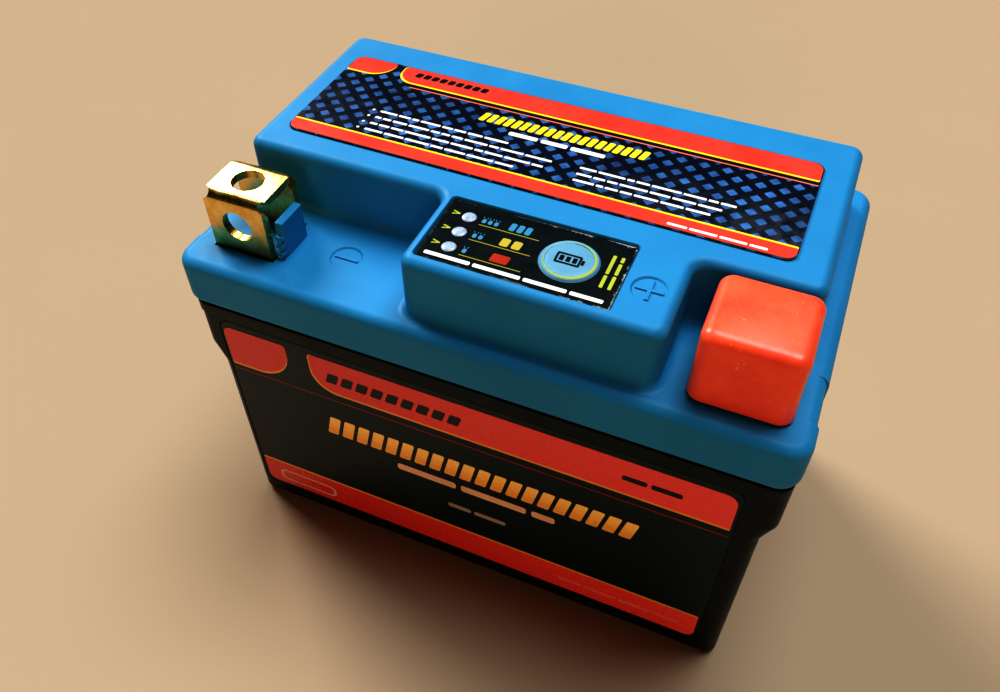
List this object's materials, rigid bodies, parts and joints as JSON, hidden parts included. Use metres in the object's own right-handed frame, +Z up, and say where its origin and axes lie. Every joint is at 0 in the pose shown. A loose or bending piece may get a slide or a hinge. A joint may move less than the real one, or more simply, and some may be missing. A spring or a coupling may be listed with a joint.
{
  "type": "motorcycle battery",
  "caption": "Compact motorcycle battery: black case, blue lid, folded brass terminals with bolt holes, lift-off terminal boot and charge indicator with a test button.",
  "frame": {"origin": "middle of the flat base, at the centre of the overall outline", "axes": "+X along the length from the negative to the positive terminal, +Y to the back, away from the terminals, +Z up"},
  "size_m": [0.113, 0.069, 0.087],
  "materials": {
    "case_plastic": "satin black moulding",
    "lid_plastic": "fine satin blue moulding",
    "sealing_bead": "matte",
    "label_film": "printed film, satin gloss",
    "indicator_film": "printed film, satin gloss",
    "brass": "bright rolled strip",
    "cap_rubber": "glossy orange-red soft vinyl",
    "lens": "pale translucent",
    "led_package": "white package",
    "circuit_board": "green solder mask",
    "steel": "plated",
    "button_plastic": "pale blue-grey dome",
    "chip_plastic": "moulded black",
    "nickel": "plated strip",
    "cell_pouch": "laminated foil",
    "foam": "closed-cell foam",
    "black_insulation": "silicone wire",
    "red_insulation": "silicone wire"
  },
  "bodies": {
    "housing": {"case": "case_plastic", "lid": "lid_plastic", "lid_seal": "sealing_bead", "front_label": "label_film", "top_label": "label_film", "negative_terminal": "brass", "positive_terminal": "brass", "indicator_film": "indicator_film", "lens_full": "lens", "lens_medium": "lens", "lens_low": "lens", "led_full": "led_package", "led_medium": "led_package", "led_low": "led_package", "indicator_board": "circuit_board", "board_screw_1": "steel", "board_screw_2": "steel", "board_screw_3": "steel", "switch_body": "steel", "cell_1": "cell_pouch", "cell_2": "cell_pouch", "cell_3": "cell_pouch", "cell_4": "cell_pouch", "cell_spacer_1": "foam", "cell_spacer_2": "foam", "cell_spacer_3": "foam", "tab_link_1": "nickel", "tab_link_2": "nickel", "tab_link_3": "nickel", "end_tab_negative": "nickel", "end_tab_positive": "nickel", "balance_board": "circuit_board", "balance_chip": "chip_plastic", "balance_resistor_1": "chip_plastic", "balance_resistor_2": "chip_plastic", "balance_resistor_3": "chip_plastic", "balance_resistor_4": "chip_plastic", "negative_lead": "black_insulation", "positive_lead": "red_insulation", "indicator_wire_negative": "black_insulation", "indicator_wire_positive": "red_insulation", "foam_left": "foam", "foam_right": "foam", "foam_front": "foam", "foam_back": "foam", "foam_base": "foam", "foam_top": "foam"},
    "test_button": {"test_button": "button_plastic", "switch_plunger": "chip_plastic"},
    "terminal_cap": {"terminal_cap": "cap_rubber"}
  },
  "joints": [
    {"name": "test_button_press", "type": "slide", "parent": "housing", "child": "test_button", "axis": [0, 0, -1], "range_m": [0, 0.0004], "stiffness_N_per_m": 1500, "springref_m": -0.0002},
    {"name": "terminal_cap_lift", "type": "slide", "parent": "housing", "child": "terminal_cap", "axis": [0, 0, 1], "range_m": [0, 0.03]}
  ]
}
